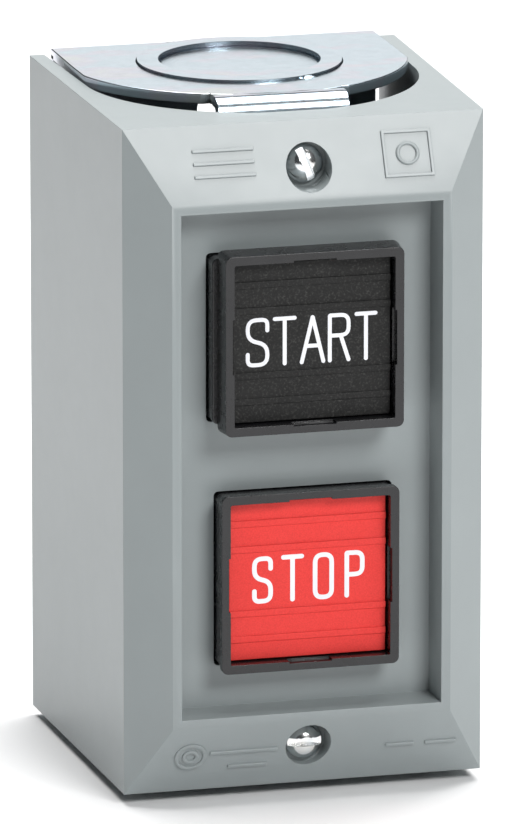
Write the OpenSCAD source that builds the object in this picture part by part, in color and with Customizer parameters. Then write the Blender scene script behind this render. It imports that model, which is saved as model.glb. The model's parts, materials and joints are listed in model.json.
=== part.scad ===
// Two-button control station: a moulded cover over a folded steel base, with
// spring-return buttons working a two-pole contact block.
// X is right, Z is up, the wall is at Y = 0 and the front faces -Y.
// Every depth, named ..._d, is a distance in front of the wall.

/* [Buttons] */
// Side of a button's square face
cap_face = 25.1; // [22:0.1:32]
// Space between the two button faces
button_gap = 8.9; // [8:0.1:14]
// Width of the rim round a button's legend plate
cap_rim = 1.25; // [1:0.05:2]
// How far the legend plate lies below the rim
plate_recess = 1.6; // [1:0.1:2.2]
// Thickness of the legend plate
plate_t = 2.2; // [1.4:0.1:3]
// Play between the legend plate and its rim, on each side
plate_play = 0.2; // [0.1:0.05:0.4]
// Height of the start button's face above the floor of the recess
start_rise = 6.4; // [5.5:0.1:9]
// Height of the stop button's face above the floor of the recess
stop_rise = 4.3; // [4:0.1:8]
// How far each button can be pushed in
travel = 2.4; // [1.5:0.1:3]
// Share of the travel that a contact bridge makes
bridge_share = 0.75; // [0.5:0.05:0.9]

/* [Cover] */
// Space from the button faces to the sides of the recess
recess_margin = 5.85; // [3:0.05:10]
// Depth of the recess that the buttons stand in
recess_depth = 5; // [3:0.1:6]
// Lean of the recess's walls, on each side
recess_draft = 0.35; // [0:0.05:0.8]
// Width of the flat frame round the recess
land = 1.3; // [0.8:0.1:4]
// How far the bevel comes in at the left and right
bevel_side = 5.7; // [4:0.1:8]
// How far the bevel comes in at the top and bottom
bevel_end = 10; // [9:0.1:13]
// Depth of the bevel
bevel_d = 4.8; // [3:0.1:6]
// Depth of the cover's sides, from the wall to the bevel
side_d = 48.2; // [44:0.1:60]
// How much further out each side is at the wall than at the bevel
draft_side = 0.96; // [0:0.02:1.2]
// The same for the top and bottom
draft_end = 0.25; // [0:0.05:0.5]
// Thickness of the cover's walls
wall = 2.2; // [1.6:0.1:2.8]
// Clearance round a button where it passes through the cover
window_play = 0.2; // [0.1:0.05:0.4]

/* [Steel base] */
// Thickness of the steel sheet
sheet_t = 1.5; // [1:0.1:2]
// How far each flange stands above the top of the cover
flange_rise = 1.05; // [0.8:0.05:3]
// Width of the tab that takes the cover screw
tab_w = 18.7; // [12:0.1:24]
// Depth of the knockouts' centre
knockout_d = 14.5; // [14.5:0.1:18]
// Diameter of the inner knockout, for half-inch conduit
knockout_small = 22.2; // [20:0.1:22.5]
// Diameter of the outer knockout, for three-quarter-inch conduit
knockout_large = 28.6; // [26:0.1:28.8]
// Diameter of the two holes for the wall screws
wall_hole = 5.2; // [4:0.1:6]

/* [Screws] */
// Shank diameter of the cover screws and the assembly screws
screw_d = 3.5; // [2.8:0.1:4]
// Head diameter of the cover screws
head_d = 5.2; // [4.8:0.1:6]
// Shank diameter of the terminal screws
term_screw_d = 3; // [2.5:0.1:3.5]

/* [Contact block] */
// Depth of the contact block's front face
block_front_d = 20; // [19:0.5:21]
// Height that the block reaches past each button's centre
block_reach = 11.5; // [11:0.1:14]
// Diameter of a plunger's stem
stem_d = 4.2; // [3.6:0.1:5]
// Running clearance round the stem in its guide, on the radius
stem_play = 0.1; // [0.05:0.01:0.2]
// Thickness of the contact strips and bridges
strip_t = 0.8; // [0.6:0.1:1]
// Thickness of a silver contact tip
tip_t = 0.6; // [0.4:0.1:0.8]

/* [Hidden] */
$fn = 64;
eps = 0.01;
air = 0.05;

// Overall sizes
pitch = cap_face + button_gap;
start_z = pitch / 2;
stop_z = -pitch / 2;
recess_w = cap_face + 2 * recess_margin;
recess_h = pitch + cap_face + 2 * recess_margin;
cover_w = recess_w + 2 * (land + bevel_side);
cover_h = recess_h + 2 * (land + bevel_end);
front_d = side_d + bevel_d;
floor_d = front_d - recess_depth;
inner_w = cover_w - 2 * wall;

// Steel base
base_half = inner_w / 2 + 0.1;
base_h = cover_h + 2 * flange_rise;
tab_front_d = side_d - 9.8;
bend_r = 1.6 * sheet_t;
flange_r = base_half + 0.7;
flange_centre = tab_front_d - bend_r - flange_r;
flange_gap = 1;
opening_r = base_half + 0.1;
opening_centre = flange_centre + 7.9;
opening_front = tab_front_d + 4.4;
screw_z = cover_h / 2 - 6.05;
tab_drop = 5;
slit = 0.25;
tie_w = 2.2;
relief_w = 1.4;
relief_len = 2.4;
knockout_step = 0.35;
wall_hole_z = cover_h / 2 - 8.6;
ground_x = base_half - 9;
ground_d = 4.2;
ground_head = [3.8, 2.4];

// Cover screws
seat_d = side_d - 0.3;
counterbore = head_d + 1.2;
boss_r = counterbore / 2 + 0.8;
cover_screw_l = 12.7;
cover_head_h = 2.3;
slot_w = 1.1;
slot_turn = [68, 0];

// Buttons and plungers
start_face_d = floor_d + start_rise;
stop_face_d = floor_d + stop_rise;
cap_depth = plate_recess + plate_t;
start_web_d = start_face_d - cap_depth;
stop_web_d = stop_face_d - cap_depth;
lip = cap_face + 0.4;
start_skirt = [cap_face + 1.8, cap_face - 1.9];
stop_skirt = [cap_face - 0.3, cap_face - 0.9];
stop_flange_t = 1.3;
skirt_wall = 1.4;
web_t = 1.8;
ridge = 0.25;
ridge_places = [0.367, 0.204];
ridge_share = 0.041;
notch = [6, 0.5];
side_notch = [0.5, 7.6];

// Operator frame
frame_wall = 1.5;
guide_play = 0.25;
frame_front_d = floor_d - wall - 0.6;
guide_t = 2;
guide_back_d = block_front_d + 8;
guide_d = guide_back_d + guide_t;
skirt_back_d = guide_d + travel + air;
frame_w = start_skirt[0] + 2 * (guide_play + frame_wall);
frame_reach = max(start_skirt[1], stop_skirt[1]) / 2 + guide_play + frame_wall;
assembly_x = start_skirt[0] / 2 - 3.5;
assembly_head_d = 5.6;
assembly_head_h = 2.2;

// Contact stack, from the wall forward
liner_t = 0.4;
block_back_d = sheet_t + liner_t;
bridge_travel = travel * bridge_share;
closed_d = block_front_d - 6;
bridge_front_d = closed_d - 2 * tip_t - air / 2;
bridge_back_d = bridge_front_d - strip_t;
open_d = bridge_back_d - bridge_travel - 2 * tip_t - strip_t - air / 2;
well_back_d = open_d - 2.4;
clip_t = 0.7;
stem_back_d = bridge_back_d - 2.2;
stem_r = stem_d / 2;
clip_r = stem_r + 1.3;
clip_groove = 0.5;

// Contact block plan
block_w = inner_w - 4.4;
block_h = pitch + 2 * block_reach;
pad_x = block_w / 2 - 3;
bridge_half = pad_x - 5.5;
tip_x = bridge_half - 2;
tip_r = 1.6;
strip_w = 5.4;
bridge_w = 5.6;
well_half = bridge_half + 0.8;
well_reach = bridge_w / 2 + 0.8;
pad_w = 5.6;
pad_offset = 6.6;
seat_play = 0.1;
plate_side = 5.4;
term_head_d = 5.2;
term_head_h = 1.8;
term_screw_l = 6.5;
plate_sheet = 0.8;

// A box centred on (x, z) that reaches from depth d0 to depth d1.
module slab(w, h, d0, d1, x = 0, z = 0) {
    translate([x - w / 2, -d1, z - h / 2]) cube([w, d1 - d0, h]);
}

// The hole that a button's skirt runs in, with its play, open past depth d1.
module skirt_hole(skirt, play, d0, d1, z) {
    slab(skirt[0] + 2 * play, skirt[1] + 2 * play, d0, d1 + 1, 0, z);
}

// A round bar along Y, centred on (x, z), from depth d0 to depth d1.
module rod(r, d0, d1, x = 0, z = 0) {
    translate([x, -d0, z]) rotate([90, 0, 0]) cylinder(r = r, h = d1 - d0);
}

// A block whose rectangle changes evenly from size a at depth d0 to size b at depth d1.
module taper(a, b, d0, d1, z = 0) {
    hull() {
        slab(a[0], a[1], d0, d0 + eps, 0, z);
        slab(b[0], b[1], d1 - eps, d1, 0, z);
    }
}

// A plan seen from above, drawn as (x, depth), raised to height h from height z.
module plan(z, h) {
    translate([0, 0, z]) mirror([0, 1, 0]) linear_extrude(height = h) children();
}

// The rounded outline of a flange, and of the gap that it fills in the cover. Its sides run
// from half-width back_half at the back edge to half-width half at the round's centre.
module d_outline(back_half, half, centre, r, flat, back = 0) {
    intersection() {
        union() {
            polygon([[-back_half, back], [back_half, back], [half, centre], [-half, centre]]);
            translate([0, centre]) circle(r);
        }
        translate([-back_half, back]) square([2 * back_half, flat - back]);
    }
}

// Repeats a piece for the top and the bottom of the station.
module both_ends() {
    for (end = [0, 1]) mirror([0, 0, end]) children();
}

// Repeats a piece for the left and the right.
module both_sides() {
    for (side = [0, 1]) mirror([side, 0, 0]) children();
}

// Half the section of a domed screw head, h high and r across, to be turned about its axis.
module dome_section(r, h) {
    ball = 1.15 * r;
    intersection() {
        translate([0, h - ball]) circle(ball);
        square([r, h]);
    }
}

// A slotted screw along Y: r shank, l long, with a head seated at depth d.
module slotted_screw(r, l, head_r, head_h, d, slot_w, turn, domed = false) {
    difference() {
        union() {
            rod(r, d - l, d + eps);
            if (domed)
                translate([0, -d, 0]) rotate([90, 0, 0]) rotate_extrude() dome_section(head_r, head_h);
            else
                rod(head_r, d, d + head_h);
        }
        rotate([0, turn, 0]) slab(3 * head_r, slot_w, d + head_h * 0.45, d + 2 * head_h);
    }
}

// A coil spring along Y from depth d0 to depth d1, with one closed turn at each end.
function coil_height(turn, turns, l, wire) =
    let (closed = wire * 1.05, active = turns - 2)
    turn < 1 ? turn * closed
    : turn < turns - 1 ? closed + (turn - 1) * (l - wire - 2 * closed) / active
    : l - wire - (turns - turn) * closed;

module coil_spring(r, wire, turns, d0, d1, z) {
    steps = 14;
    sides = 8;
    count = turns * steps;
    points = [for (i = [0:count]) let (turn = i / steps, a = 360 * turn)
        for (s = [0:sides - 1]) let (b = 360 * s / sides, reach = r + wire / 2 * cos(b))
            [reach * cos(a), -(d0 + wire / 2 + coil_height(turn, turns, d1 - d0, wire) + wire / 2 * sin(b)),
             z + reach * sin(a)]];
    rings = [for (i = [0:count - 1]) for (s = [0:sides - 1]) let (n = (s + 1) % sides)
        [i * sides + s, i * sides + n, (i + 1) * sides + n, (i + 1) * sides + s]];
    ends = [[for (s = [sides - 1:-1:0]) s], [for (s = [0:sides - 1]) count * sides + s]];
    polyhedron(points = points, faces = concat(rings, ends), convexity = 10);
}

// ---------------------------------------------------------------- cover

module cover_body(w, h, back_grow_w, back_grow_h, edge_d, in_w, in_h, top_d) {
    hull() {
        slab(w + 2 * back_grow_w, h + 2 * back_grow_h, 0, eps);
        slab(w, h, edge_d - eps, edge_d);
        slab(w - 2 * in_w, h - 2 * in_h, top_d - eps, top_d);
    }
}

module cover_hollow() {
    slope_end = bevel_d / bevel_end;
    edge_d = side_d + wall * slope_end - wall * sqrt(1 + slope_end * slope_end);
    difference() {
        translate([0, eps, 0]) cover_body(inner_w, cover_h - 2 * wall, draft_side, draft_end,
            edge_d, bevel_side, bevel_end, front_d - wall);
        slab(recess_w + 2 * wall, recess_h + 2 * wall, floor_d - wall, front_d + 1);
    }
}

module cover() {
    color([0.56, 0.6, 0.61]) difference() {
        union() {
            difference() {
                cover_body(cover_w, cover_h, draft_side, draft_end, side_d, bevel_side, bevel_end, front_d);
                cover_hollow();
            }
            both_ends() rod(boss_r, tab_front_d + air, seat_d + 1, 0, screw_z);
        }
        taper([recess_w - 2 * recess_draft, recess_h - 2 * recess_draft], [recess_w, recess_h],
            floor_d, front_d + eps);
        skirt_hole(start_skirt, window_play, floor_d - wall - 1, floor_d, start_z);
        skirt_hole(stop_skirt, window_play, floor_d - wall - 1, floor_d, stop_z);
        both_ends() {
            plan(cover_h / 2 - wall - 0.3, wall + 5)
                difference() {
                    d_outline(base_half + flange_gap, opening_r, opening_centre, opening_r,
                        opening_front, -1);
                    translate([-boss_r, tab_front_d + air]) square([2 * boss_r, 10]);
                }
            plan(screw_z + boss_r, 20)
                translate([-boss_r - eps, tab_front_d])
                    square([2 * boss_r + 2 * eps, opening_front - tab_front_d]);
            rod(screw_d / 2 + 0.2, tab_front_d - 1, seat_d + 1, 0, screw_z);
            rod(counterbore / 2, seat_d, front_d + 1, 0, screw_z);
        }
    }
}

module cover_screw(turn) {
    slotted_screw(screw_d / 2 - air, cover_screw_l, head_d / 2, cover_head_h, seat_d, slot_w, turn, true);
}

module cover_screws() {
    color([0.82, 0.83, 0.84]) {
        translate([0, 0, screw_z]) cover_screw(slot_turn[0]);
        translate([0, 0, -screw_z]) cover_screw(slot_turn[1]);
    }
}

// ---------------------------------------------------------------- steel base

// A narrow round slit through the sheet, broken by ties where the metal still holds.
module round_slit(r, ties) {
    difference() {
        circle(r + slit / 2);
        circle(r - slit / 2);
        for (a = ties) rotate([0, 0, a]) translate([r - 1, -tie_w / 2]) square([2, tie_w]);
    }
}

// A half-sheared disc or ring, a little above or below the sheet it is still tied to.
module sheared(r_out, r_in, z) {
    plan(z, knockout_step + eps) translate([0, knockout_d]) difference() {
        circle(r_out);
        if (r_in > 0) circle(r_in);
    }
}

module flange() {
    r_small = knockout_small / 2;
    r_large = knockout_large / 2;
    difference() {
        union() {
            plan(base_h / 2 - sheet_t, sheet_t) difference() {
                d_outline(base_half, base_half, flange_centre, flange_r, tab_front_d - bend_r);
                translate([0, knockout_d]) round_slit(r_large, [-62, 118]);
                translate([0, knockout_d]) round_slit(r_small, [20, 200]);
                for (s = [-1, 1])
                    translate([s * (tab_w + relief_w) / 2, tab_front_d - bend_r])
                        square([relief_w, 2 * relief_len], center = true);
            }
            sheared(r_large - slit / 2, r_small + slit / 2, base_h / 2 - eps);
            sheared(r_small - slit / 2, 0, base_h / 2 - sheet_t - knockout_step);
        }
        sheared(r_small - slit / 2, 0, base_h / 2 - knockout_step);
        sheared(r_large - slit / 2, r_small + slit / 2, base_h / 2 - sheet_t - eps);
    }
}

// The flange's front edge folded down into a tab, drawn as (depth, z) and run across the tab.
module tab() {
    top = base_h / 2;
    bottom = screw_z - tab_drop;
    difference() {
        translate([-tab_w / 2, 0, 0]) rotate([90, 0, 90]) linear_extrude(height = tab_w) mirror([1, 0]) {
            difference() {
                union() {
                    translate([tab_front_d - bend_r - 1, bottom])
                        square([bend_r + 1, top - bend_r - bottom]);
                    translate([tab_front_d - bend_r - 1, bottom]) square([1, top - bottom]);
                    translate([tab_front_d - bend_r, top - bend_r]) circle(bend_r);
                }
                translate([tab_front_d - bend_r - 2, bottom - 1])
                    square([bend_r + 2 - sheet_t, top - sheet_t - bottom + 1]);
            }
        }
        rod(screw_d / 2, tab_front_d - 5, tab_front_d + 5, 0, screw_z);
    }
}

module base_bracket() {
    color([0.78, 0.8, 0.82]) {
        difference() {
            slab(2 * base_half, base_h, 0, sheet_t);
            both_ends() rod(wall_hole / 2, -1, sheet_t + 1, 0, wall_hole_z);
            both_sides() rod(screw_d / 2, -1, sheet_t + 1, assembly_x, 0);
            rod(ground_d / 2, -1, sheet_t + 1, ground_x, wall_hole_z);
        }
        both_ends() {
            flange();
            tab();
        }
    }
}

module ground_screw() {
    color([0.1, 0.5, 0.25]) translate([ground_x, 0, wall_hole_z])
        slotted_screw(ground_d / 2 - air, sheet_t, ground_head[0], ground_head[1], sheet_t, slot_w, 35);
}

// ---------------------------------------------------------------- contact block

module insulating_liner() {
    color([0.72, 0.62, 0.42]) difference() {
        slab(block_w + 1.6, block_h + 1.6, sheet_t, sheet_t + liner_t);
        both_sides() rod(screw_d / 2 + 0.3, 0, block_back_d + 1, assembly_x, 0);
    }
}

// A contact strip for the right-hand side of a button at height z. The finger lies in the
// well and the pad lies under a terminal screw, above the centre for way = 1 and below for -1.
module contact_strip(z, finger_d, way, grow = 0) {
    root_x = well_half + 0.6;
    inner_x = tip_x - 2;
    pad_back = closed_d - grow;
    pad_front = closed_d + strip_t + grow;
    pad_z = z + way * pad_offset;
    span(inner_x - grow, root_x + 1.6 + grow, z, strip_w / 2 + grow,
        finger_d - grow, finger_d + strip_t + grow);
    span(root_x - grow, root_x + 1.6 + grow, z + way * pad_offset / 2,
        (pad_offset + pad_w) / 2 + grow - 0.6, finger_d - grow, finger_d + strip_t + grow);
    span(root_x - grow, root_x + strip_t + grow, pad_z, pad_w / 2 + grow,
        min(finger_d, closed_d) - grow, pad_front);
    span(root_x - grow, block_w / 2 + grow, pad_z, pad_w / 2 + grow, pad_back, pad_front);
}

// A box from x0 to x1, centred on height z with a half height, from depth d0 to depth d1.
module span(x0, x1, z, half, d0, d1) {
    translate([x0, -d1, z - half]) cube([x1 - x0, d1 - d0, 2 * half]);
}

// Repeats a piece for the contacts of the two buttons, on both sides.
module each_contact() {
    for (z = [start_z, stop_z]) both_sides() translate([0, 0, z]) children();
}

module contact_block() {
    color([0.24, 0.2, 0.17]) difference() {
        union() {
            slab(2 * (well_half + 0.6), block_h, block_back_d, block_front_d);
            slab(block_w, block_h, block_back_d, closed_d);
        }
        for (z = [start_z, stop_z])
            slab(2 * well_half, 2 * well_reach, well_back_d, block_front_d + 1, 0, z);
        each_contact() {
            contact_strip(0, open_d, -1, seat_play);
            contact_strip(0, closed_d, 1, seat_play);
            for (way = [-1, 1])
                rod(term_screw_d / 2, closed_d - 6, closed_d + 1, pad_x, way * pad_offset);
            span(well_half - 1, block_w / 2 + 1, -pad_offset, pad_w / 2 + seat_play,
                closed_d, block_front_d + 1);
            span(well_half - 1, well_half + 2.3, 0, strip_w / 2 + seat_play, open_d, block_front_d + 1);
        }
        both_sides() rod(screw_d / 2 + 0.2, 0, block_front_d + 1, assembly_x, 0);
    }
}

module open_contacts() {
    color([0.8, 0.62, 0.32]) each_contact() difference() {
        contact_strip(0, open_d, -1);
        rod(term_screw_d / 2, closed_d - 1, closed_d + 3, pad_x, -pad_offset);
    }
}

module closed_contacts() {
    color([0.8, 0.62, 0.32]) each_contact() difference() {
        contact_strip(0, closed_d, 1);
        rod(term_screw_d / 2, closed_d - 1, closed_d + 3, pad_x, pad_offset);
    }
}

module fixed_contact_tips() {
    color([0.88, 0.88, 0.86]) each_contact() {
        rod(tip_r, open_d + strip_t, open_d + strip_t + tip_t, tip_x, 0);
        rod(tip_r, closed_d - tip_t, closed_d, tip_x, 0);
    }
}

module terminal_plates() {
    plate_d = closed_d + strip_t;
    color([0.78, 0.79, 0.8]) each_contact() for (way = [-1, 1]) difference() {
        slab(plate_side, plate_side, plate_d, plate_d + plate_sheet, pad_x, way * pad_offset);
        rod(term_screw_d / 2, plate_d - 1, plate_d + 2, pad_x, way * pad_offset);
    }
}

module terminal_screws() {
    seat = closed_d + strip_t + plate_sheet;
    color([0.8, 0.81, 0.82]) each_contact() for (way = [-1, 1])
        translate([pad_x, 0, way * pad_offset])
            slotted_screw(term_screw_d / 2 - air, term_screw_l, term_head_d / 2, term_head_h,
                seat, slot_w, 30 * way);
}

// ---------------------------------------------------------------- operator frame

module operator_frame() {
    color([0.16, 0.16, 0.17]) difference() {
        slab(frame_w, pitch + 2 * frame_reach, block_front_d, frame_front_d);
        skirt_hole(start_skirt, guide_play, guide_d, frame_front_d, start_z);
        skirt_hole(stop_skirt, guide_play, guide_d, frame_front_d, stop_z);
        for (z = [start_z, stop_z]) {
            slab(frame_w - 2 * frame_wall, 2 * (frame_reach - frame_wall),
                block_front_d - 1, guide_back_d, 0, z);
            rod(stem_r + stem_play, block_front_d, frame_front_d, 0, z);
        }
        both_sides() {
            rod(screw_d / 2 + 0.2, block_front_d - 1, frame_front_d, assembly_x, 0);
            rod(assembly_head_d / 2 + 0.4, guide_d, frame_front_d + 1, assembly_x, 0);
        }
    }
}

module assembly_screws() {
    color([0.8, 0.81, 0.82]) both_sides() translate([assembly_x, 0, 0])
        slotted_screw(screw_d / 2 - air, guide_d, assembly_head_d / 2, assembly_head_h,
            guide_d, slot_w, 60);
}

// ---------------------------------------------------------------- buttons

module clip_notches(size, z, d0, d1) {
    for (s = [-1, 1]) {
        slab(notch[0], notch[1], d0, d1, 0, z + s * size / 2);
        slab(side_notch[0], side_notch[1], d0, d1, s * size / 2, z);
    }
}

module start_cap() {
    inside = cap_face - 2 * cap_rim;
    color([0.13, 0.13, 0.14]) difference() {
        taper([lip, lip], [cap_face, cap_face], start_web_d, start_face_d, start_z);
        slab(inside, inside, start_web_d - 1, start_face_d + 1, 0, start_z);
        clip_notches(inside, start_z, start_face_d - plate_recess, start_face_d + 1);
    }
}

module stop_cap() {
    inside = cap_face - 2 * cap_rim;
    color([0.13, 0.13, 0.14]) difference() {
        union() {
            slab(cap_face, cap_face, stop_face_d - stop_flange_t, stop_face_d, 0, stop_z);
            slab(stop_skirt[0], stop_skirt[1], stop_web_d, stop_face_d - stop_flange_t, 0, stop_z);
        }
        slab(inside, inside, stop_web_d - 1, stop_face_d + 1, 0, stop_z);
        clip_notches(inside, stop_z, stop_face_d - plate_recess, stop_face_d + 1);
    }
}

// A square plate with four raised ridges across it, two above its middle and two below.
module legend_plate(web_d, z) {
    side = cap_face - 2 * (cap_rim + plate_play);
    face_d = web_d + plate_t;
    slab(side, side, web_d, face_d - ridge, 0, z);
    for (s = [-1, 1], share = ridge_places)
        slab(side, ridge_share * side, face_d - ridge - eps, face_d, 0, z + s * share * side);
}

module start_legend_plate() {
    color([0.1, 0.1, 0.11]) legend_plate(start_web_d, start_z);
}

module stop_legend_plate() {
    color([0.86, 0.2, 0.19]) legend_plate(stop_web_d, stop_z);
}

module plunger(skirt, web_d, z) {
    difference() {
        slab(skirt[0], skirt[1], skirt_back_d, web_d, 0, z);
        slab(skirt[0] - 2 * skirt_wall, skirt[1] - 2 * skirt_wall, skirt_back_d - 1, web_d - web_t, 0, z);
    }
    difference() {
        rod(stem_r, stem_back_d, web_d - web_t + eps, 0, z);
        for (d = [guide_back_d - clip_t - air, bridge_back_d - clip_t - air])
            difference() {
                rod(stem_r + 1, d, d + clip_t, 0, z);
                rod(stem_r - clip_groove, d - 1, d + clip_t + 1, 0, z);
            }
    }
}

module start_plunger() {
    color([0.15, 0.15, 0.16]) plunger(start_skirt, start_web_d, start_z);
}

module stop_plunger() {
    color([0.15, 0.15, 0.16]) plunger(stop_skirt, stop_web_d, stop_z);
}

// Two open retaining rings in the stem's grooves. The front one stops the plunger
// against its guide and the back one draws the bridge forward.
module stem_clips(z) {
    for (d = [guide_back_d - clip_t - air, bridge_back_d - clip_t - air])
        difference() {
            rod(clip_r, d, d + clip_t, 0, z);
            rod(stem_r - clip_groove, d - 1, d + clip_t + 1, 0, z);
            slab(2, 2 * stem_r + 4, d - 1, d + clip_t + 1, 0, z - stem_r - 2);
        }
}

module start_stem_clips() {
    color([0.5, 0.5, 0.52]) stem_clips(start_z);
}

module stop_stem_clips() {
    color([0.5, 0.5, 0.52]) stem_clips(stop_z);
}

module return_spring(web_d, z) {
    coil_spring(stem_r + 2.4, 0.7, 8, guide_d, web_d - web_t, z);
}

module start_return_spring() {
    color([0.6, 0.61, 0.63]) return_spring(start_web_d, start_z);
}

module stop_return_spring() {
    color([0.6, 0.61, 0.63]) return_spring(stop_web_d, stop_z);
}

module contact_spring(z) {
    coil_spring(stem_r + 0.6, 0.4, 9, bridge_front_d, guide_back_d - clip_t - air, z);
}

module start_contact_spring() {
    color([0.6, 0.61, 0.63]) contact_spring(start_z);
}

module stop_contact_spring() {
    color([0.6, 0.61, 0.63]) contact_spring(stop_z);
}

module bridge(z) {
    difference() {
        slab(2 * bridge_half, bridge_w, bridge_back_d, bridge_front_d, 0, z);
        rod(stem_r + 0.15, bridge_back_d - 1, bridge_front_d + 1, 0, z);
    }
}

module start_bridge() {
    color([0.8, 0.5, 0.3]) bridge(start_z);
}

module stop_bridge() {
    color([0.8, 0.5, 0.3]) bridge(stop_z);
}

module bridge_tips(z) {
    both_sides() {
        rod(tip_r, bridge_front_d, bridge_front_d + tip_t, tip_x, z);
        rod(tip_r, bridge_back_d - tip_t, bridge_back_d, tip_x, z);
    }
}

module start_bridge_tips() {
    color([0.88, 0.88, 0.86]) bridge_tips(start_z);
}

module stop_bridge_tips() {
    color([0.88, 0.88, 0.86]) bridge_tips(stop_z);
}

cover();
cover_screws();
base_bracket();
ground_screw();
insulating_liner();
contact_block();
operator_frame();
assembly_screws();
open_contacts();
closed_contacts();
fixed_contact_tips();
terminal_plates();
terminal_screws();
start_cap();
start_legend_plate();
start_plunger();
start_stem_clips();
start_return_spring();
start_contact_spring();
start_bridge();
start_bridge_tips();
stop_cap();
stop_legend_plate();
stop_plunger();
stop_stem_clips();
stop_return_spring();
stop_contact_spring();
stop_bridge();
stop_bridge_tips();
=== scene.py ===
"""A two-button control station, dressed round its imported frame.

The cover, the buttons, the plated base and the screws are modelled here as finished
pieces. The working parts inside keep their frame shapes and take a full finish. Sizes
are in millimetres, and a depth, named ``..._d`` or ``depth``, is measured from the wall.
"""

import json
import logging
import math
from collections.abc import Callable, Iterable, Sequence
from dataclasses import dataclass, field
from enum import Enum

import bmesh
import bpy
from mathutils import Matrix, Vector


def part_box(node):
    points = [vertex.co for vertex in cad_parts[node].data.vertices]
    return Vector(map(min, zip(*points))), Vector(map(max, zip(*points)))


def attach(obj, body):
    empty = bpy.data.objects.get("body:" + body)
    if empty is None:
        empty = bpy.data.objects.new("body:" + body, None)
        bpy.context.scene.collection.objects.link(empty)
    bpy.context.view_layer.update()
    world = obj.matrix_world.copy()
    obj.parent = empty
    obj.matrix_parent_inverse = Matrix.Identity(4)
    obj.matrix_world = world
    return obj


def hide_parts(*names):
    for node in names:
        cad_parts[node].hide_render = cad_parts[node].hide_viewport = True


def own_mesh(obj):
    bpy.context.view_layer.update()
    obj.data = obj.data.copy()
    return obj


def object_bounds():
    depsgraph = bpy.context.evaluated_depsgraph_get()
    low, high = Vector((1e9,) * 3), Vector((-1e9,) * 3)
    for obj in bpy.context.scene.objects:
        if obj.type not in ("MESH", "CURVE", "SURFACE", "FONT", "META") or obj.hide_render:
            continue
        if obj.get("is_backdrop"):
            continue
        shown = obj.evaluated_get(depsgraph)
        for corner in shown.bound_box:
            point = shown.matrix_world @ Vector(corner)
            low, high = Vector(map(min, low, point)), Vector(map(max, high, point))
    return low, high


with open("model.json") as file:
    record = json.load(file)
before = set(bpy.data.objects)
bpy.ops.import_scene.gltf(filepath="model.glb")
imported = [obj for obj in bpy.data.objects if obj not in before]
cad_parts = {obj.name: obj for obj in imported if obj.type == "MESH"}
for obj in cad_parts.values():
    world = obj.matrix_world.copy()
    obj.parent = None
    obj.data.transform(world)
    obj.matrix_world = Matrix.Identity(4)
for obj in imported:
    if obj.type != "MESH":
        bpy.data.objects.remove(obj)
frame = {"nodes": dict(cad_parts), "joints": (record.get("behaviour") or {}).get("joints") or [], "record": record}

MM = 0.001
LOG = logging.getLogger("station")

Piece = bpy.types.Object
Socket = bpy.types.NodeSocket
Pair = tuple[float, float]
Line = Sequence[Sequence[float]]
Colour = tuple[float, float, float]
Test = Callable[[Vector, Vector], bool]


class Join(Enum):
    """How a tool shape is combined with the piece it works on."""

    CUT = "DIFFERENCE"
    WELD = "UNION"


class End(Enum):
    """The two ends of the station, as the sign of Z."""

    TOP = 1
    BOTTOM = -1


# ---- bench tools


def focus(piece: Piece) -> None:
    """Selects one object only and makes it active."""
    bpy.ops.object.select_all(action="DESELECT")
    piece.select_set(True)
    bpy.context.view_layer.objects.active = piece


def edit(piece: Piece) -> None:
    """Opens one piece in edit mode, with all of it selected."""
    focus(piece)
    bpy.ops.object.mode_set(mode="EDIT")
    bpy.ops.mesh.select_all(action="SELECT")


def placed(name: str, data: bpy.types.ID) -> Piece:
    """Puts a new object with its data in the scene, alone selected, and returns it."""
    piece = bpy.data.objects.new(name, data)
    bpy.context.scene.collection.objects.link(piece)
    focus(piece)
    return piece


def drawn(name: str, points: Line, edges: Iterable[Sequence[int]], faces: Iterable[Sequence[int]]) -> Piece:
    """Makes a mesh from points in metres, opens it in edit mode and returns the piece."""
    mesh = bpy.data.meshes.new(name)
    mesh.from_pydata(points, edges, faces)
    piece = placed(name, mesh)
    edit(piece)
    return piece


def raised(name: str, outline: Line, way: Sequence[float]) -> Piece:
    """Carries a closed outline in metres along a straight way, and returns the solid."""
    piece = drawn(name, outline, [], [list(range(len(outline)))])
    bpy.ops.mesh.extrude_region_move(TRANSFORM_OT_translate={"value": way})
    close_mesh()
    return piece


def swept(name: str, radius: float, points: Line, closed: bool = False) -> Piece:
    """Runs a round section along a chain of points, as a mesh.

    Args:
        name: The object's name.
        radius: Radius of the section, in millimetres.
        points: The x, depth and z of each point, and its share of the radius.
        closed: Whether the chain runs back to its first point.

    Returns:
        The bar.
    """
    curve = bpy.data.curves.new(name, "CURVE")
    curve.dimensions = "3D"
    curve.bevel_depth = radius * MM
    curve.bevel_resolution = 2
    curve.use_fill_caps = not closed
    line = curve.splines.new("POLY")
    line.points.add(len(points) - 1)
    line.use_cyclic_u = closed
    for point, (x, depth, z, share) in zip(line.points, points):
        point.co = (x * MM, -depth * MM, z * MM, 1)
        point.radius = share
    piece = placed(name, curve)
    bpy.ops.object.convert(target="MESH")
    return piece


def settle(piece: Piece) -> Piece:
    """Puts an object's place, turn and size into its mesh, and returns it."""
    focus(piece)
    bpy.ops.object.transform_apply(location=True, rotation=True, scale=True)
    return piece


def new_piece(name: str) -> Piece:
    """Names the primitive that was just added, and returns it."""
    piece = bpy.context.object
    piece.name = name
    piece.data.name = name
    return piece


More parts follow.
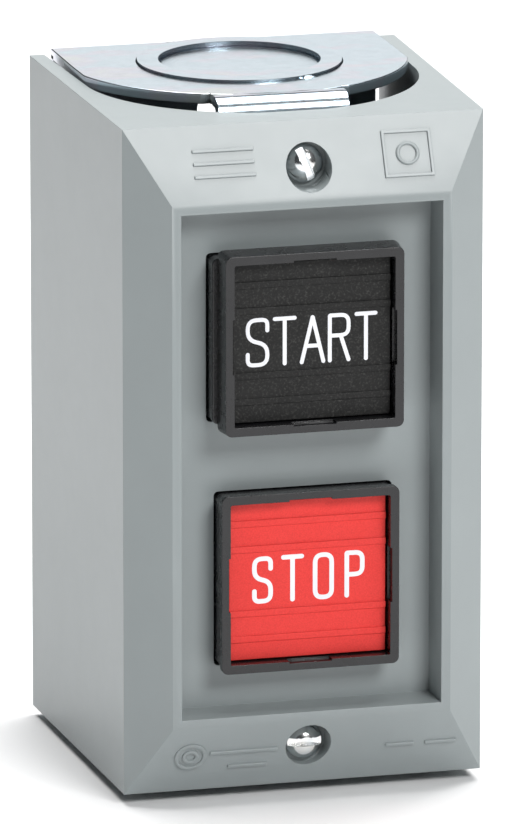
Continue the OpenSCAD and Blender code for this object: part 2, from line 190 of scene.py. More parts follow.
def block(name: str, size: Sequence[float], d0: float, d1: float, x: float = 0, z: float = 0) -> Piece:
    """Adds a box between two depths.

    Args:
        name: The object's name.
        size: Width along X and height along Z.
        d0: Depth nearer the wall.
        d1: Depth nearer the front.
        x: Centre along X.
        z: Centre along Z.

    Returns:
        The box, with its place in its mesh.
    """
    bpy.ops.object.select_all(action="DESELECT")
    bpy.ops.mesh.primitive_cube_add(size=1, location=(x * MM, -(d0 + d1) / 2 * MM, z * MM))
    piece = new_piece(name)
    piece.scale = (size[0] * MM, (d1 - d0) * MM, size[1] * MM)
    return settle(piece)


def rod(name: str, r: float, d0: float, d1: float, x: float = 0, z: float = 0, sides: int = 48) -> Piece:
    """Adds a round bar along the depth, from d0 to d1, centred on x and z, and returns it."""
    bpy.ops.object.select_all(action="DESELECT")
    bpy.ops.mesh.primitive_cylinder_add(
        vertices=sides, radius=r * MM, depth=(d1 - d0) * MM,
        location=(x * MM, -(d0 + d1) / 2 * MM, z * MM), rotation=(math.pi / 2, 0, 0),
    )
    return settle(new_piece(name))


def post(name: str, r: float, z0: float, z1: float, depth: float, sides: int) -> Piece:
    """Adds a round bar along Z, from z0 to z1, centred at one depth, and returns it."""
    bpy.ops.object.select_all(action="DESELECT")
    bpy.ops.mesh.primitive_cylinder_add(
        vertices=sides, radius=r * MM, depth=abs(z1 - z0) * MM, location=(0, -depth * MM, (z0 + z1) / 2 * MM)
    )
    return settle(new_piece(name))


def turned(name: str, profile: Iterable[Sequence[float]], x: float, z: float, steps: int = 48) -> Piece:
    """Turns a profile about a line along the depth, as on a lathe.

    Args:
        name: The object's name.
        profile: Points of radius and depth, from the axis at one end to the axis at the other.
        x: The axis along X.
        z: The axis along Z.
        steps: Faces round the axis.

    Returns:
        The closed solid.
    """
    points = [((x + r) * MM, -depth * MM, z * MM) for r, depth in profile]
    return spun(name, points, (x * MM, 0, z * MM), (0, 1, 0), steps)


def spun(name: str, points: Sequence[Sequence[float]], centre: Sequence[float], axis: Sequence[float],
         steps: int) -> Piece:
    """Spins a chain of points in metres a whole turn about an axis, and returns the closed solid."""
    piece = drawn(name, points, [(i, i + 1) for i in range(len(points) - 1)], [])
    bpy.ops.mesh.spin(steps=steps, angle=2 * math.pi, center=centre, axis=axis)
    close_mesh()
    return piece


def close_mesh() -> None:
    """Merges doubles, drops empty faces, points every face outwards and leaves edit mode."""
    bpy.ops.mesh.select_all(action="SELECT")
    bpy.ops.mesh.remove_doubles(threshold=1e-6)
    bpy.ops.mesh.dissolve_degenerate(threshold=1e-7)
    bpy.ops.mesh.select_all(action="SELECT")
    bpy.ops.mesh.normals_make_consistent(inside=False)
    leave()


def open_net(piece: Piece, kind: str) -> bmesh.types.BMesh:
    """Enters edit mode with nothing selected, to pick faces or edges, and returns the open mesh."""
    edit(piece)
    bpy.ops.mesh.select_mode(type=kind)
    bpy.ops.mesh.select_all(action="DESELECT")
    return bmesh.from_edit_mesh(piece.data)


def pick_faces(piece: Piece, test: Test) -> None:
    """Enters edit mode with only the faces selected whose centre (mm) and normal pass the test."""
    for face in open_net(piece, "FACE").faces:
        face.select = test(face.calc_center_median() / MM, face.normal)
    bmesh.update_edit_mesh(piece.data)


def pick_edges(piece: Piece, test: Test) -> None:
    """Enters edit mode with only the edges selected whose middle (mm) and direction pass the test."""
    for edge in open_net(piece, "EDGE").edges:
        a, b = (v.co for v in edge.verts)
        edge.select = test((a + b) / 2 / MM, (b - a).normalized())
    bmesh.update_edit_mesh(piece.data)


def leave() -> None:
    """Leaves edit mode."""
    bpy.ops.object.mode_set(mode="OBJECT")


def push(depth: float) -> None:
    """Extrudes the selected faces towards the front by a depth."""
    bpy.ops.mesh.extrude_region_move(TRANSFORM_OT_translate={"value": (0, -depth * MM, 0)})


def resize(x: float, z: float, centre_z: float = 0) -> None:
    """Scales what is selected across X and Z, about the middle line of a piece."""
    bpy.ops.transform.resize(value=(x, 1, z), center_override=(0, 0, centre_z * MM))


def bevel_picked(radius: float, segments: int) -> None:
    """Rounds the selected edges and leaves edit mode."""
    bpy.ops.mesh.bevel(offset=radius * MM, segments=segments, affect="EDGES")
    leave()


def round_corners(piece: Piece, radius: float, segments: int = 5) -> Piece:
    """Rounds the four corners of a block that run along the depth, and returns it."""
    pick_edges(piece, lambda _, way: abs(way.y) > 0.95)
    bevel_picked(radius, segments)
    return piece


def combine(piece: Piece, tool: Piece, how: Join) -> Piece:
    """Cuts or welds a piece with a tool shape, which is used up, and returns the piece."""
    focus(piece)
    change = piece.modifiers.new("combine", "BOOLEAN")
    change.operation = how.value
    change.solver = "EXACT"
    change.object = tool
    bpy.ops.object.modifier_apply(modifier=change.name)
    bpy.data.objects.remove(tool, do_unlink=True)
    return piece


def soften(piece: Piece, width: float, segments: int = 3, angle: float = 28) -> Piece:
    """Rounds every edge sharper than an angle, shades it smoothly and returns the piece."""
    focus(piece)
    edge = piece.modifiers.new("edges", "BEVEL")
    edge.width = width * MM
    edge.segments = segments
    edge.limit_method = "ANGLE"
    edge.angle_limit = math.radians(angle)
    edge.use_clamp_overlap = True
    bpy.ops.object.modifier_apply(modifier=edge.name)
    return smooth(piece)


def smooth(piece: Piece, angle: float = 50) -> Piece:
    """Shades a piece smoothly with its flat faces kept flat, and returns it."""
    focus(piece)
    bpy.ops.object.shade_smooth_by_angle(angle=math.radians(angle))
    weights = piece.modifiers.new("flats", "WEIGHTED_NORMAL")
    weights.keep_sharp = True
    weights.weight = 90
    bpy.ops.object.modifier_apply(modifier=weights.name)
    return piece


def merge(name: str, pieces: Sequence[Piece]) -> Piece:
    """Joins several separate solids into one object, and returns it."""
    focus(pieces[0])
    for piece in pieces:
        piece.select_set(True)
    bpy.ops.object.join()
    return new_piece(name)


def box_mm(node: str) -> tuple[Vector, Vector]:
    """The lowest and highest corner of a frame node, in millimetres."""
    lo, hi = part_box(node)
    return lo / MM, hi / MM


# ---- finishes


class Recipe:
    """A node tree in the making, with its shader and its coordinates."""

    def __init__(self, name: str) -> None:
        """Starts a material with the pattern coordinates of the piece itself."""
        self.material = bpy.data.materials.new(name)
        self.material.use_nodes = True
        self.tree = self.material.node_tree
        self.shader = self.tree.nodes["Principled BSDF"]
        self.coordinates = self.tree.nodes.new("ShaderNodeTexCoord").outputs["Object"]

    def noise(self, size: float, detail: float = 3, stretch: Colour = (1, 1, 1), rough: float = 0.55
              ) -> Socket:
        """A noise whose grains are about ``size`` millimetres across; returns its factor output."""
        mapping = self.tree.nodes.new("ShaderNodeMapping")
        mapping.inputs["Scale"].default_value = stretch
        grain = self.tree.nodes.new("ShaderNodeTexNoise")
        grain.inputs["Scale"].default_value = 1 / (size * MM)
        grain.inputs["Detail"].default_value = detail
        grain.inputs["Roughness"].default_value = rough
        self.tree.links.new(self.coordinates, mapping.inputs["Vector"])
        self.tree.links.new(mapping.outputs["Vector"], grain.inputs["Vector"])
        return grain.outputs["Fac"]

    def ramp(self, factor: Socket, stops: Sequence[tuple[float, Colour]]) -> Socket:
        """Colours a factor by the stops, and returns the colour output."""
        node = self.tree.nodes.new("ShaderNodeValToRGB")
        elements = node.color_ramp.elements
        while len(elements) < len(stops):
            elements.new(0.5)
        for element, (place, colour) in zip(elements, stops):
            element.position = place
            element.color = (*colour, 1)
        self.tree.links.new(factor, node.inputs["Fac"])
        return node.outputs["Color"]

    def between(self, factor: Socket, low: float, high: float) -> Socket:
        """Maps the middle of a factor's range to a range of values, and returns the value output."""
        node = self.tree.nodes.new("ShaderNodeMapRange")
        for socket, value in (("From Min", 0.3), ("From Max", 0.7), ("To Min", low), ("To Max", high)):
            node.inputs[socket].default_value = value
        self.tree.links.new(factor, node.inputs["Value"])
        return node.outputs["Result"]

    def bump(self, height: Socket, depth: float, below: Socket | None = None) -> Socket:
        """Adds relief of a depth in millimetres over what is below, and returns the normal output."""
        node = self.tree.nodes.new("ShaderNodeBump")
        node.inputs["Distance"].default_value = depth * MM
        node.inputs["Strength"].default_value = 1.0
        self.tree.links.new(height, node.inputs["Height"])
        if below is not None:
            self.tree.links.new(below, node.inputs["Normal"])
        return node.outputs["Normal"]

    def connect(self, socket: str, output: Socket) -> None:
        """Feeds an output into one of the shader's sockets."""
        self.tree.links.new(output, self.shader.inputs[socket])


def shade(colour: Colour, factor: float) -> Colour:
    """A colour made lighter or darker by a factor."""
    return tuple(min(1.0, c * factor) for c in colour)


@dataclass(frozen=True)
class Finish:
    """A surface finish: the name of its material and a slot name, which is not used."""

    name: str
    slot: str

    def material(self) -> bpy.types.Material:
        """Builds the material."""
        raise NotImplementedError


@dataclass(frozen=True)
class Moulding(Finish):
    """A moulded plastic with a fine grain and a little unevenness in tone and gloss."""

    colour: Colour
    roughness: float
    grain: float = 0.35
    relief: float = 0.006
    mottle: float = 0.04
    specular: float = 0.5
    coat: float = 0.0
    unevenness: float = 0.045

    def material(self) -> bpy.types.Material:
        """Builds the material."""
        mix = Recipe(self.name)
        mix.shader.inputs["Specular IOR Level"].default_value = self.specular
        mix.shader.inputs["Coat Weight"].default_value = self.coat
        mix.shader.inputs["Coat Roughness"].default_value = 0.25
        tone = mix.noise(9.0, 4)
        mix.connect("Base Color", mix.ramp(tone, [
            (0.3, shade(self.colour, 1 - self.mottle)), (0.7, shade(self.colour, 1 + self.mottle))]))
        grain = mix.noise(self.grain, 2)
        mix.connect("Roughness", mix.between(
            mix.noise(2.5, 3), self.roughness - self.unevenness, self.roughness + self.unevenness))
        mix.connect("Normal", mix.bump(grain, self.relief))
        return mix.material


@dataclass(frozen=True)
class SparkTexture(Finish):
    """A spark-eroded plastic surface, with painted glints: the high spots of its coarse grain are coloured
    lighter.
    """

    colour: Colour
    # colour of the painted glints on the grain's high spots, lighter than the plate's own colour
    painted_glint: Colour
    roughness: float
    relief: float = 0.03
    grain: float = 0.32
    specular: float = 0.3

    def material(self) -> bpy.types.Material:
        """Builds the material."""
        mix = Recipe(self.name)
        mix.shader.inputs["Specular IOR Level"].default_value = self.specular
        coarse = mix.noise(self.grain, 3, rough=0.7)
        fine = mix.noise(self.grain * 0.4, 2)
        # painted glints: the grain's high spots are coloured lighter, where light would catch them; the low end of
        # the grain is a little darker
        mix.connect("Base Color", mix.ramp(coarse, [
            (0.3, shade(self.colour, 0.85)), (0.52, self.colour), (0.74, self.painted_glint)]))
        mix.connect("Roughness", mix.between(mix.noise(4.0), self.roughness - 0.06, self.roughness + 0.06))
        mix.connect("Normal", mix.bump(fine, self.relief * 0.4, below=mix.bump(coarse, self.relief)))
        return mix.material


@dataclass(frozen=True)
class Plating(Finish):
    """Bright zinc over steel, with drawn-out passivation tints and a faint wave."""

    tints: tuple[Colour, ...]
    roughness: float
    tint_size: float = 16.0
    relief: float = 0.02

    def material(self) -> bpy.types.Material:
        """Builds the material."""
        mix = Recipe(self.name)
        mix.shader.inputs["Metallic"].default_value = 1.0
        swirl = mix.noise(self.tint_size, 3, stretch=(0.8, 1.6, 1.0), rough=0.6)
        places = [0.3 + 0.4 * i / (len(self.tints) - 1) for i in range(len(self.tints))]
        mix.connect("Base Color", mix.ramp(swirl, list(zip(places, self.tints))))
        mix.connect("Roughness", mix.between(mix.noise(1.8, 4), self.roughness - 0.03, self.roughness + 0.03))
        wave = mix.bump(mix.noise(6.0, 2), self.relief)
        lines = mix.noise(0.25, 3, stretch=(0.3, 1, 1))
        mix.connect("Normal", mix.bump(lines, self.relief * 0.12, below=wave))
        return mix.material


@dataclass(frozen=True)
class BareMetal(Finish):
    """A drawn or stamped metal with fine lines and a slight tarnish."""

    colour: Colour
    tarnish: Colour
    roughness: float

    def material(self) -> bpy.types.Material:
        """Builds the material."""
        mix = Recipe(self.name)
        mix.shader.inputs["Metallic"].default_value = 1.0
        mix.connect("Base Color", mix.ramp(mix.noise(3.0, 5), [(0.35, self.colour), (0.72, self.tarnish)]))
        mix.connect("Roughness", mix.between(mix.noise(0.8, 3), self.roughness - 0.07, self.roughness + 0.1))
        mix.connect("Normal", mix.bump(mix.noise(0.2, 2, stretch=(0.15, 1, 1)), 0.004))
        return mix.material


@dataclass(frozen=True)
class Compound(Finish):
    """A pressed board or moulding compound, flecked and dull."""

    colour: Colour
    fleck: Colour
    roughness: float
    size: float = 0.7

    def material(self) -> bpy.types.Material:
        """Builds the material."""
        mix = Recipe(self.name)
        flecks = mix.noise(self.size, 4, rough=0.7)
        mix.connect("Base Color", mix.ramp(flecks, [
            (0.3, shade(self.colour, 0.8)), (0.55, self.colour), (0.75, self.fleck)]))
        mix.connect("Roughness", mix.between(flecks, self.roughness - 0.08, self.roughness + 0.05))
        mix.connect("Normal", mix.bump(flecks, 0.012))
        return mix.material


class Paints:
    """Every finish on the station, each made once."""

    COVER = Moulding("grey cover plastic", "cover_plastic", (0.262, 0.292, 0.296), 0.34, relief=0.004,
                     mottle=0.02, specular=0.45, unevenness=0.01)
    GLOSS_BLACK = Moulding("semi-gloss black", "black_gloss", (0.009, 0.009, 0.0102), 0.26, 0.5, 0.004, 0.15)
    INNER_BLACK = Moulding("matt black moulding", "black_inner", (0.024, 0.024, 0.025), 0.5, 0.4, 0.01, 0.12)
    # each textured plate's second colour is its painted glint colour
    BLACK_PLATE = SparkTexture("textured black plate", "black_plate", (0.009, 0.009, 0.0088),
                               (0.05, 0.05, 0.047), 0.62)
    RED_PLATE = SparkTexture("textured red plate", "red_plate", (0.72, 0.038, 0.032), (0.76, 0.055, 0.046),
                             0.5, 0.008, 0.2)
    LEGEND = Moulding("white filled lettering", "red_plate", (0.78, 0.79, 0.83), 0.5, 0.2, 0.01, 0.03)
    ZINC = Plating("zinc plated sheet", "zinc_steel", (
        (0.52, 0.62, 0.69), (0.56, 0.65, 0.71), (0.55, 0.65, 0.71), (0.61, 0.62, 0.69), (0.62, 0.65, 0.65)),
        0.22, 13.0, 0.002)
    ZINC_SCREW = Plating("zinc plated screw", "zinc_screw", (
        (0.62, 0.66, 0.68), (0.80, 0.83, 0.85), (0.86, 0.85, 0.82)), 0.2, 3.0, 0.01)
    BRASS = BareMetal("contact brass", "contact_brass", (0.78, 0.56, 0.26), (0.52, 0.36, 0.18), 0.3)
    COPPER = BareMetal("bridge copper", "bridge_copper", (0.83, 0.46, 0.28), (0.5, 0.26, 0.16), 0.32)
    SILVER = BareMetal("silver contact", "silver_tip", (0.86, 0.85, 0.82), (0.6, 0.57, 0.52), 0.25)
    SPRING = BareMetal("spring steel", "spring_steel", (0.52, 0.53, 0.55), (0.34, 0.34, 0.35), 0.3)
    GREEN = Moulding("green lacquer", "green_screw", (0.02, 0.22, 0.08), 0.3, 0.6, 0.01, 0.12, coat=0.4)
    PHENOLIC = Compound("brown phenolic", "brown_phenolic", (0.05, 0.03, 0.02), (0.1, 0.065, 0.045), 0.5)
    FIBRE = Compound("insulating fibre", "fibre_liner", (0.46, 0.36, 0.19), (0.58, 0.48, 0.3), 0.8, 0.4)

    _made: dict[str, bpy.types.Material] = {}

    @classmethod
    def of(cls, finish: Finish) -> bpy.types.Material:
        """The material of a finish, built the first time it is asked for."""
        if finish.name not in cls._made:
            cls._made[finish.name] = finish.material()
        return cls._made[finish.name]


def dress(piece: Piece, body: str, finish: Finish, replaced: Sequence[str] = ()) -> Piece:
    """Gives a new piece its finish and its place in the frame.

    Args:
        piece: The finished object.
        body: The frame body that it rides on.
        finish: One of the finishes in Paints.
        replaced: The frame nodes that it stands for.

    Returns:
        The piece.
    """
    piece.data.materials.clear()
    piece.data.materials.append(Paints.of(finish))
    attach(piece, body)
    if replaced:
        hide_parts(*replaced)
    LOG.info("%s: %d faces, rides on %s", piece.name, len(piece.data.polygons), body)
    return piece


# ---- cover


@dataclass
class Cover:
    """The moulded cover: a hollow box with bevelled shoulders and a recess for the buttons."""

    side_shoulder: float = 5.7
    end_shoulder: float = 10.0
    shoulder_depth: float = 4.8
    side_draft: float = 0.96
    end_draft: float = 0.25
    wall: float = 2.2
    land: float = 1.3
    recess_depth: float = 5.0
    recess_draft: float = 0.35
    play: float = 0.2
    boss_r: float = 4.0
    boss_gap: float = 0.05
    boss_rise: float = 0.7
    window_r: float = 0.6
    counterbore_r: float = 3.2
    screw_hole_r: float = 1.95
    seat_back: float = 0.3
    edge_r: float = 0.28
    opening_gap: float = 1.0
    opening_round: float = 0.1
    opening_forward: float = 7.9
    opening_front: float = 4.4
    mark_height: float = 0.26
    mark_root: float = 0.3
    bar_w: float = 0.5
    half_w: float = field(init=False)
    half_h: float = field(init=False)
    front_d: float = field(init=False)
    side_d: float = field(init=False)

    def __post_init__(self) -> None:
        """Reads the overall sizes from the frame."""
        lo, hi = box_mm("cover")
        self.half_w = hi.x - self.side_draft
        self.half_h = hi.z - self.end_draft
        self.front_d = -lo.y
        self.side_d = self.front_d - self.shoulder_depth

    def build(self) -> None:
        """Models the cover and puts it in the frame."""
        cover = self.outer_shape()
        combine(cover, self.hollow(), Join.CUT)
        for end in End:
            combine(cover, self.opening(end), Join.CUT)
        for end in End:
            boss = rod("boss", self.boss_r, self.tab_d() + self.boss_gap, self.side_d + self.boss_rise, 0,
                       cover_screw_z(end))
            combine(cover, boss, Join.WELD)
        for end in End:
            z = cover_screw_z(end)
            combine(cover, rod("seat", self.counterbore_r, self.seat_d(), self.front_d + 1, 0, z), Join.CUT)
            combine(cover, rod("hole", self.screw_hole_r, self.tab_d() - 1, self.front_d, 0, z, 32), Join.CUT)
        floor_d = self.front_d - self.recess_depth
        for node in ("start_plunger", "stop_plunger"):
            lo, hi = box_mm(node)
            size = (hi.x - lo.x + 2 * self.play, hi.z - lo.z + 2 * self.play)
            window = block("window", size, floor_d - self.wall - 1, floor_d + 1, 0, (lo.z + hi.z) / 2)
            combine(cover, round_corners(window, self.window_r, 3), Join.CUT)
        soften(cover, self.edge_r)
        cover.name = "moulded_cover"
        dress(cover, "station", Paints.COVER, ["cover"])
        dress(smooth(merge("moulded_marks", self.marks())), "station", Paints.COVER)

    def outer_shape(self) -> Piece:
        """Draws the sides out to the shoulders, the shoulders to the land, and sinks the recess."""
        back = (self.half_w + self.side_draft, self.half_h + self.end_draft)
        cover = block("cover_body", (2 * back[0], 2 * back[1]), 0, self.side_d)
        pick_faces(cover, lambda _, normal: normal.y < -0.9)
        resize(self.half_w / back[0], self.half_h / back[1])
        push(self.shoulder_depth)
        front = (self.half_w - self.side_shoulder, self.half_h - self.end_shoulder)
        resize(front[0] / self.half_w, front[1] / self.half_h)
        bpy.ops.mesh.inset(thickness=self.land * MM)
        push(-self.recess_depth)
        mouth = (front[0] - self.land, front[1] - self.land)
        resize(1 - self.recess_draft / mouth[0], 1 - self.recess_draft / mouth[1])
        leave()
        return cover

    def hollow(self) -> Piece:
        """The space inside, up to an even wall behind the shoulders and round the recess."""
        slope = self.shoulder_depth / self.end_shoulder
        edge_d = self.side_d + self.wall * (slope - math.sqrt(1 + slope * slope))
        inner = (self.half_w - self.wall, self.half_h - self.wall)
        back = (inner[0] + self.side_draft, inner[1] + self.end_draft)
        hollow = block("hollow", (2 * back[0], 2 * back[1]), -0.5, edge_d)
        pick_faces(hollow, lambda _, normal: normal.y < -0.9)
        resize(inner[0] / back[0], inner[1] / back[1])
        push(self.front_d - self.wall - edge_d)
        resize(1 - self.side_shoulder / inner[0], 1 - self.end_shoulder / inner[1])
        leave()
        mouth = (self.half_w - self.side_shoulder - self.land, self.half_h - self.end_shoulder - self.land)
        pan = block("pan", (2 * (mouth[0] + self.wall), 2 * (mouth[1] + self.wall)),
                    self.front_d - self.recess_depth - self.wall, self.front_d + 1)
        return combine(hollow, pan, Join.CUT)

    def opening(self, end: End) -> Piece:
        """The round-fronted gap in one end that the base's flange stands in."""
        plan = FlangePlan.from_frame().opening(
            self.opening_gap, self.opening_round, self.opening_forward, self.opening_front)
        inside, outside = self.half_h - self.wall - 0.3, self.half_h + 5
        return slab("opening", plan, end.value * inside, end.value * outside)

    def marks(self) -> list[Piece]:
        """Small raised moulding marks on the two sloping shoulders, all plain shapes."""
        shapes: list[Piece] = []
        for end, bars, rings in (
            (End.TOP, ((-11.8, 1.9, 8.6), (-11.8, 0.1, 8.6), (-11.8, -1.7, 8.6)), ((14.0, 0.0, 1.4),)),
            (End.BOTTOM, ((-9.2, 1.0, 9.6), (-8.4, -1.6, 5.6), (13.1, 0.2, 4.0), (18.9, 0.2, 4.4)),
             ((-16.7, 0.6, 2.0), (-16.7, 0.6, 0.9))),
        ):
            for x, up, length in bars:
                shapes.append(self.laid_on_shoulder(end, x, up, self.bar(length)))
            for x, up, r in rings:
                shapes.append(self.laid_on_shoulder(end, x, up, self.ring(r)))
        shapes.append(self.laid_on_shoulder(End.TOP, 14.0, 0.0, self.square_frame(7.0, 6.6)))
        return shapes

    def square_frame(self, width: float, height: float) -> Piece:
        """A raised square outline, drawn at the origin."""
        line = 0.9
        frame_piece = block("outline", (width, height), -self.mark_root, self.mark_height)
        combine(frame_piece, block("inside", (width - line, height - line), -1, 1), Join.CUT)
        return soften(frame_piece, 0.08, 2)

    def bar(self, length: float) -> Piece:
        """A raised bar with round ends, drawn at the origin."""
        return soften(block("bar", (length, self.bar_w), -self.mark_root, self.mark_height), 0.1, 2)

    def ring(self, r: float) -> Piece:
        """A raised ring, drawn at the origin."""
        half = 0.25
        top, root = self.mark_height, -self.mark_root
        section = [(r - half, root), (r - half, top * 0.7), (r - half * 0.6, top), (r + half * 0.6, top),
                   (r + half, top * 0.7), (r + half, root), (r - half, root)]
        return turned("ring", section, 0, 0, 40)

    def laid_on_shoulder(self, end: End, x: float, up: float, mark: Piece) -> Piece:
        """Turns a mark onto a shoulder, ``up`` millimetres above the middle of its slope."""
        lean = math.atan2(self.shoulder_depth, self.end_shoulder)
        middle_z = end.value * (self.half_h - self.end_shoulder / 2)
        middle_d = self.side_d + self.shoulder_depth / 2
        mark.rotation_euler = (end.value * -lean, 0, 0)
        z = middle_z + up * math.cos(lean)
        depth = middle_d - end.value * up * math.sin(lean)
        mark.location = (x * MM, -depth * MM, z * MM)
        return settle(mark)

    def tab_d(self) -> float:
        """The depth of the front of the base's tabs."""
        return -box_mm("base_bracket")[0].y

    def seat_d(self) -> float:
        """The depth that the cover screws' heads sit at."""
        return self.side_d - self.seat_back


def cover_screw_z(end: End) -> float:
    """The height of one cover screw, in millimetres."""
    return end.value * (box_mm("cover_screws")[1].z - CoverScrews.head_r)


def frame_mount(name: str) -> Vector:
    """The place of a mount of the record, in metres."""
    return next(Vector(m["pos_m"]) for m in frame["record"]["mounts"] if m["name"] == name)


@dataclass(frozen=True)
class FlangePlan:
    """The round-fronted plan of a flange, which the cover's opening follows with a gap.

    Attributes:
        half: Half the width of the base.
        tab_d: Depth of the front of the tab.
        bend_r: Outer radius of the bend at the tab.
        round_more: How much larger the round's radius is than half the width.
    """

    half: float
    tab_d: float
    bend_r: float = 2.4
    round_more: float = 0.7

    @classmethod
    def from_frame(cls) -> "FlangePlan":
        """Reads the plan from the base's box."""
        lo, hi = box_mm("base_bracket")
        return cls(hi.x, -lo.y)

    @property
    def radius(self) -> float:
        """Radius of the flange's round front."""
        return self.half + self.round_more

    @property
    def centre(self) -> float:
        """Depth of the centre of that round."""
        return self.tab_d - self.bend_r - self.radius

    def outline(self, back_half: float, centre: float, radius: float, flat: float, back: float) -> list[Pair]:
        """Draws a D-shaped plan.

        Args:
            back_half: Half the width at the back edge, which the round is clipped to.
            centre: Depth of the round's centre.
            radius: Radius of the round.
            flat: Depth of the flat front.
            back: Depth of the back edge.

        Returns:
            Points of x and depth, once round from the back right corner.
        """
        steps = 96
        points = [(back_half, back)]
        for i in range(steps + 1):
            a = math.pi * i / steps
            x = radius * math.cos(a)
            if abs(x) < back_half or i in (0, steps):
                depth = min(centre + radius * math.sin(a), flat)
                points.append((max(-back_half, min(back_half, x)), depth))
        return [*points, (-back_half, back)]

    def flange(self) -> list[Pair]:
        """The plan of the flange."""
        return self.outline(self.half, self.centre, self.radius, self.tab_d - self.bend_r, 0)

    def opening(self, gap: float, radius_more: float, forward: float, front: float) -> list[Pair]:
        """The plan of the gap in the cover.

        Args:
            gap: Space beside the flange at the wall.
            radius_more: How much larger the round's radius is than half the base's width.
            forward: How far the round's centre lies in front of the flange's.
            front: How far the flat front lies in front of the tab.

        Returns:
            Points of x and depth.
        """
        radius = self.half + radius_more
        return self.outline(self.half + gap, self.centre + forward, radius, self.tab_d + front, -1)


def slab(name: str, plan: Sequence[Pair], z0: float, z1: float) -> Piece:
    """Raises a closed plan of x and depth from one height to another, and returns the solid."""
    return raised(name, [(x * MM, -depth * MM, z0 * MM) for x, depth in plan], (0, 0, (z1 - z0) * MM))


# ---- screws


@dataclass
class CoverScrews:
    """The two slotted cover screws, with domed heads and a thread."""

    head_r: float = 2.6
    head_h: float = 2.3
    slot_w: float = 1.1
    slot_d: float = 1.25
    shank_r: float = 1.7
    length: float = 12.7
    turns: Pair = (68.0, 0.0)

    def build(self) -> None:
        """Models both screws as one piece."""
        seat = -box_mm("cover_screws")[0].y - self.head_h
        made = []
        for end, turn in zip(End, self.turns):
            made.append(self.screw(seat, cover_screw_z(end), turn))
        dress(merge("cover_screw_pair", made), "station", Paints.ZINC_SCREW, ["cover_screws"])

    def screw(self, seat: float, z: float, turn: float) -> Piece:
        """One screw: turned head and threaded shank, with its slot cut across."""
        rim = 0.25
        ball = 1.15 * self.head_r
        profile = [(0, seat - self.length), (self.shank_r - 0.35, seat - self.length)]
        pitch = 0.8
        depth = seat - self.length + 0.4
        while depth < seat - 1.6:
            profile += [(self.shank_r, depth), (self.shank_r - 0.28, depth + pitch / 2)]
            depth += pitch
        profile += [(self.shank_r - 0.1, seat - 1.2), (self.shank_r - 0.1, seat), (self.head_r - rim, seat),
                    (self.head_r, seat + rim)]
        centre = seat + self.head_h - ball
        low = math.asin(min(1.0, self.head_r / ball))
        steps = 7
        for i in range(steps + 1):
            a = low * (1 - i / steps)
            profile.append((ball * math.sin(a), centre + ball * math.cos(a)))
        piece = turned("screw", profile, 0, z, 56)
        slot = block("slot", (3 * self.head_r, self.slot_w), seat + self.head_h - self.slot_d,
                     seat + self.head_h + 1, 0, 0)
        slot.rotation_euler = (0, math.radians(turn), 0)
        slot.location = (0, 0, z * MM)
        combine(piece, settle(slot), Join.CUT)
        return soften(piece, 0.09, 2, 40)


# ---- plated base


